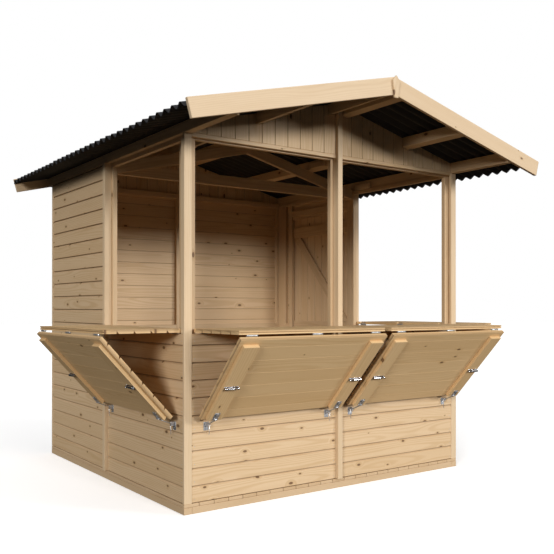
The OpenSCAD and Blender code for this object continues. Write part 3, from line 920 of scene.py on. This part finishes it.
def keeper(store, face, across, out, reach):
    # plate on the cladding with a lug, a pin and its tail, and the loop that reaches up to the latch
    corner = face - across * (catch["wide"] / 2) - zAxis * (catch["tall"] / 2)
    size = (catch["wide"], catch["tall"], latch["plate"])
    addBlock(store, corner, across, zAxis, out, size, catch["easing"])
    addBlock(store, face - across * (catch["lug"][0] / 2), across, zAxis, out, catch["lug"])
    pin = face + out * catch["pinOut"] + zAxis * catch["pinUp"]
    pinHalf = across * catch["pinHalf"]
    addRod(store, pin - pinHalf, pin + pinHalf, catch["pin"], catch["pinSides"])
    tail = pin - across * catch["tailAt"]
    tailEnd = tail - zAxis * catch["tailDrop"] + across * catch["tailDrift"]
    addRod(store, tail, tailEnd, catch["tail"], catch["tailSides"])
    loopHalf = latch["plateWide"] * catch["loopShare"]
    screwAcross, screwUp = catch["screwAt"]
    for edge in (-1, 1):
        side = across * (edge * loopHalf)
        addRod(store, pin + side, reach + side, catch["loop"], catch["loopSides"])
        for rise in (-screwUp, screwUp):
            place = face + across * (edge * screwAcross) + zAxis * rise
            addScrew(store, place, out, catch["screwProud"], screw["radius"])
    half = across * (loopHalf + catch["loop"])
    addRod(store, reach - half, reach + half, catch["loop"], catch["loopSides"])


def leafFittings(hatch):
    along, down, smooth, pin = propAxes(hatch)
    out = hatches[hatch][1]
    battens, battenDown, battenOut = propSpans(hatch)[1:]
    home = pin - along * pin.dot(along)
    wallFace = spanOf(hatch + "_low_wall", out)[1]
    bolts, toggles, keepers = newStore(), newStore(), newStore()
    for tip, (start, end) in zip((-along, along), battens):
        spot = (start + end) / 2
        middle = home + along * spot + down * (sum(battenDown) * bolt["place"]) + smooth * battenOut
        barrelBolt(bolts, middle, tip, down, smooth)
        face = along * spot + out * wallFace + zAxis * catch["height"]
        foot = home + along * spot + down * (battenDown[1] - latch["inset"]) + smooth * battenOut
        toggleLatch(toggles, foot, down, along, smooth)
        reach = foot + smooth * catch["loopOut"] - down * catch["loopUp"]
        keeper(keepers, face, along, out, reach)
    makePiece(hatch + "_bolts", bolts, metal["brightSteel"], hatch + "_prop_leaf", "galvanised_steel")
    makePiece(hatch + "_latches", toggles, metal["zincSteel"], hatch + "_prop_leaf", "galvanised_steel")
    makePiece(hatch + "_keepers", keepers, metal["zincSteel"], "stall", "galvanised_steel")


for hatch in hatches:
    leafFittings(hatch)
print("bolts and latches made")


# door
door = {"board": boardPitch, "vee": 0.0028}
strapScrew = {"lift": 0.002, "shares": (0.3, 0.55, 0.8, 0.95), "proud": 0.0018, "radius": 0.0045,
              "sides": 16, "easing": 0.0008}


def strapScrews():
    store = newStore()
    face = spanOf("door_boards", xAxis)[1] + strapScrew["lift"]
    for solid in solidsOf("door_straps"):
        low = Vector([min(vert.co[i] for vert in solid.verts) for i in range(3)])
        high = Vector([max(vert.co[i] for vert in solid.verts) for i in range(3)])
        for share in strapScrew["shares"]:
            place = Vector((face, low.y + (high.y - low.y) * share, (low.z + high.z) / 2))
            addRod(store, place, place + xAxis * strapScrew["proud"], strapScrew["radius"],
                   strapScrew["sides"], strapScrew["easing"])
        solid.free()
    makePiece("door_strap_screws", store, metal["zincSteel"], "door", "galvanised_steel")


tonguedBoards("door_boards.planks", "door_boards", pine["claddingPine"], "door", "door_timber",
              (zAxis, yAxis, xAxis), door)
strapScrews()
sawnFrom("door_ledges", ".timber", pine["framePine"], "door_timber")
sawnFrom("door_straps", ".steel", metal["zincSteel"], "galvanised_steel", easings["strap"], smooth=True)
print("door made")


# nails and cleats
nails = {"radius": 0.0022, "proud": 0.0007, "sunk": 0.001, "sides": 8, "fromEnd": 0.016, "overLine": 0.018,
         "headroom": 0.04, "leastUp": 0.02}
cleat = {"length": 0.16, "height": 0.038, "thick": 0.018, "gap": 0.035, "lift": 0.002, "nearRidge": 0.2,
         "easing": 0.0015}
stop = {"height": 0.024, "thick": 0.018, "reveal": 0.007, "endGap": 0.014, "easing": 0.0015}


def addNail(store, place, out):
    point, head = place - out * nails["sunk"], place + out * nails["proud"]
    addRod(store, point, head, nails["radius"], nails["sides"], 0.0)


def wallNails():
    store = newStore()
    for node, (along, out) in wallFaces.items():
        ends, faces, heights = spansOf(node, along, out, zAxis)
        columns = [ends[0] + nails["fromEnd"], ends[1] - nails["fromEnd"]]
        line = cladding["firstLap"]
        while line + nails["headroom"] < heights[1]:
            for column in columns:
                if line + nails["leastUp"] > heights[0]:
                    place = along * column + out * faces[1] + zAxis * (line + nails["overLine"])
                    addNail(store, place, out)
            line += cladding["pitch"]
    makePiece("cladding_nails", store, metal["zincSteel"], "stall", "galvanised_steel")


def trussCleats():
    # short blocks on the inner faces of the purlins, just in front of the truss
    store = newStore()
    back = spanOf("truss_rafters", yAxis)[0] - cleat["gap"]
    for solid in solidsOf("purlins"):
        side = 1 if sum(vert.co.x for vert in solid.verts) > 0 else -1
        inner = min(vert.co.x * side for vert in solid.verts)
        low = min(vert.co.z for vert in solid.verts if vert.co.x * side < inner + slack)
        if inner > cleat["nearRidge"]:
            corner = Vector((side * inner, back - cleat["length"], low + cleat["lift"]))
            size = (cleat["length"], cleat["height"], cleat["thick"])
            addBlock(store, corner, yAxis, zAxis, xAxis * -side, size, cleat["easing"])
        solid.free()
    makePiece("truss_cleats", store, pine["trimPine"], "stall", "frame_timber")


def doorStop():
    # a strip under the lintel that the head of the door shuts against
    store = newStore()
    ends = spanOf("door_boards", yAxis)
    inner = spanOf("door_boards", xAxis)[0]
    top = spanOf("wall_over_door", zAxis)[0]
    corner = Vector((inner - stop["reveal"], ends[0] + stop["endGap"], top - stop["height"]))
    size = (ends[1] - ends[0] - 2 * stop["endGap"], stop["height"], stop["thick"])
    addBlock(store, corner, yAxis, zAxis, -xAxis, size, stop["easing"])
    makePiece("door_stop", store, pine["framePine"], "stall", "frame_timber")


wallNails()
trussCleats()
doorStop()
print("nails and cleats made")


# floor, light and camera
studio = {"half": 40.0, "floor": 0.97, "floorRough": 0.9, "floorGlow": 0.45, "bounce": 0.04, "backdrop": 1.0,
          "sky": 0.65, "skyRise": (0.15, 0.9)}
farLights = {
    "key": {"from": (0.08, -1.0, 0.22), "power": 1.35, "spread": 11.0},
    "side": {"from": (0.85, -1.0, 0.28), "power": 1.1, "spread": 11.0},
    "fill": {"from": (-1.0, -0.66, 0.30), "power": 1.65, "spread": 16.0},
}


def cameraSwitch(tree, other, seen, output):
    # one look for the camera's own rays and another for all light that bounces
    path = newNode(tree, "LightPath")
    blend = newNode(tree, "MixShader")
    tree.links.new(path.outputs["Is Camera Ray"], blend.inputs[0])
    tree.links.new(other.outputs[0], blend.inputs[1])
    tree.links.new(seen.outputs[0], blend.inputs[2])
    tree.links.new(blend.outputs[0], tree.nodes[output].inputs["Surface"])


def groundPlane():
    # pale to look at, but it throws little light back up under the roof
    mesh = bpy.data.meshes.new("ground")
    half = studio["half"]
    corners = [(-half, -half, 0), (half, -half, 0), (half, half, 0), (-half, half, 0)]
    mesh.from_pydata(corners, [], [(0, 1, 2, 3)])
    material, tree, shader = newMaterial("groundPaint")
    shader.inputs["Base Color"].default_value = (studio["floor"],) * 3 + (1,)
    shader.inputs["Roughness"].default_value = studio["floorRough"]
    shader.inputs["Specular IOR Level"].default_value = 0.0
    shader.inputs["Emission Color"].default_value = (1, 1, 1, 1)
    shader.inputs["Emission Strength"].default_value = studio["floorGlow"]
    dim = newNode(tree, "BsdfDiffuse", {"Color": (studio["bounce"],) * 3 + (1,)})
    cameraSwitch(tree, dim, shader, "Material Output")
    mesh.materials.append(material)
    ground = bpy.data.objects.new("ground", mesh)
    scene.collection.objects.link(ground)


def paleSky():
    # the sky's light grows towards the zenith, so that little of it comes in under the roof
    world = bpy.data.worlds.new("studio")
    world.use_nodes = True
    tree = world.node_tree
    light = tree.nodes["Background"]
    light.inputs["Color"].default_value = (1, 1, 1, 1)
    way = newNode(tree, "TexCoord")
    split = newNode(tree, "SeparateXYZ", {"Vector": way.outputs["Generated"]})
    rise = between(tree, split.outputs["Z"], *studio["skyRise"])
    tree.links.new(maths(tree, "MULTIPLY", rise, studio["sky"]), light.inputs["Strength"])
    seen = newNode(tree, "Background", {"Color": (1, 1, 1, 1), "Strength": studio["backdrop"]})
    cameraSwitch(tree, light, seen, "World Output")
    scene.world = world


def addFarLight(name, look):
    # low, soft lights: two from the front and one from the left
    lamp = bpy.data.lights.new(name, "SUN")
    lamp.energy = look["power"]
    lamp.angle = math.radians(look["spread"])
    holder = bpy.data.objects.new(name, lamp)
    holder.rotation_euler = (-Vector(look["from"])).to_track_quat("-Z", "Y").to_euler()
    scene.collection.objects.link(holder)


groundPlane()
paleSky()
for name, look in farLights.items():
    addFarLight(name, look)

view = {"place": (-2.776, -4.268, 1.034), "pitch": 90.18, "yaw": -35.48, "lens": 48.49, "sensor": 36.0,
        "shiftY": 0.0507}
lens = bpy.data.cameras.new("camera")
lens.lens = view["lens"]
lens.sensor_width = view["sensor"]
lens.shift_y = view["shiftY"]
camera = bpy.data.objects.new("camera", lens)
camera.location = view["place"]
camera.rotation_euler = (math.radians(view["pitch"]), 0, math.radians(view["yaw"]))
scene.collection.objects.link(camera)
scene.camera = camera
scene.view_settings.view_transform = "Standard"
print("light and camera set")
